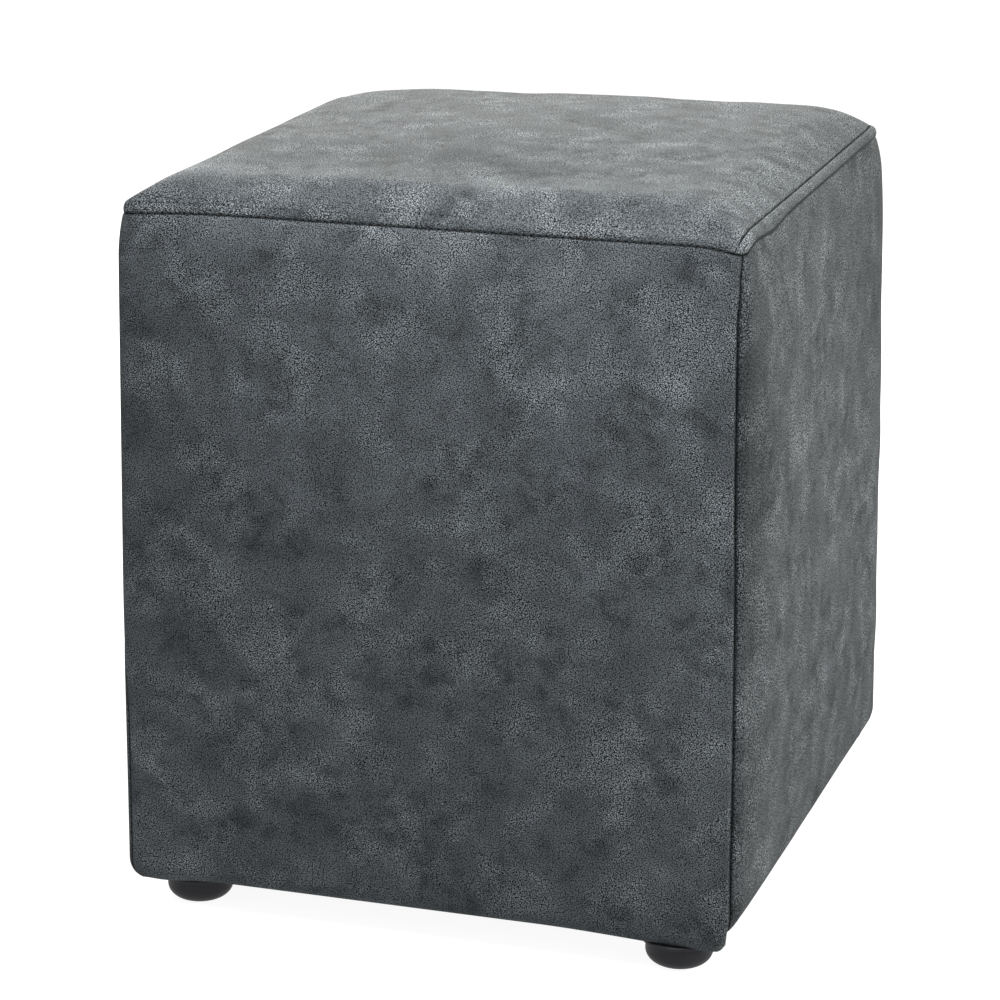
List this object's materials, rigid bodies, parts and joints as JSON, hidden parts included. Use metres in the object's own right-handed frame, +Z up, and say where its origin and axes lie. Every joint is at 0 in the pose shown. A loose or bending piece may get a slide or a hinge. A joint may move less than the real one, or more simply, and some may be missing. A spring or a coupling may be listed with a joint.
{
  "type": "cube pouf stool",
  "caption": "Square padded stool in a sewn leather-look cover: crowned seat with a welted edge, upright walls turned under at the bottom, low round glide feet.",
  "frame": {"origin": "on the floor, under the middle of the stool", "axes": "+X to the stool's right seen from the front, -Y towards the front, +Z up"},
  "size_m": [0.3843, 0.3844, 0.4533],
  "materials": {
    "cover": "matt, napped and mottled, fine pebbled grain",
    "base_cloth": "matt non-woven cloth",
    "foot": "satin moulded"
  },
  "bodies": {
    "root": {"top_panel": "cover", "front_panel": "cover", "right_panel": "cover", "back_panel": "cover", "left_panel": "cover", "base_panel": "base_cloth", "foot_front_left": "foot", "foot_front_right": "foot", "foot_back_left": "foot", "foot_back_right": "foot"}
  },
  "joints": []
}
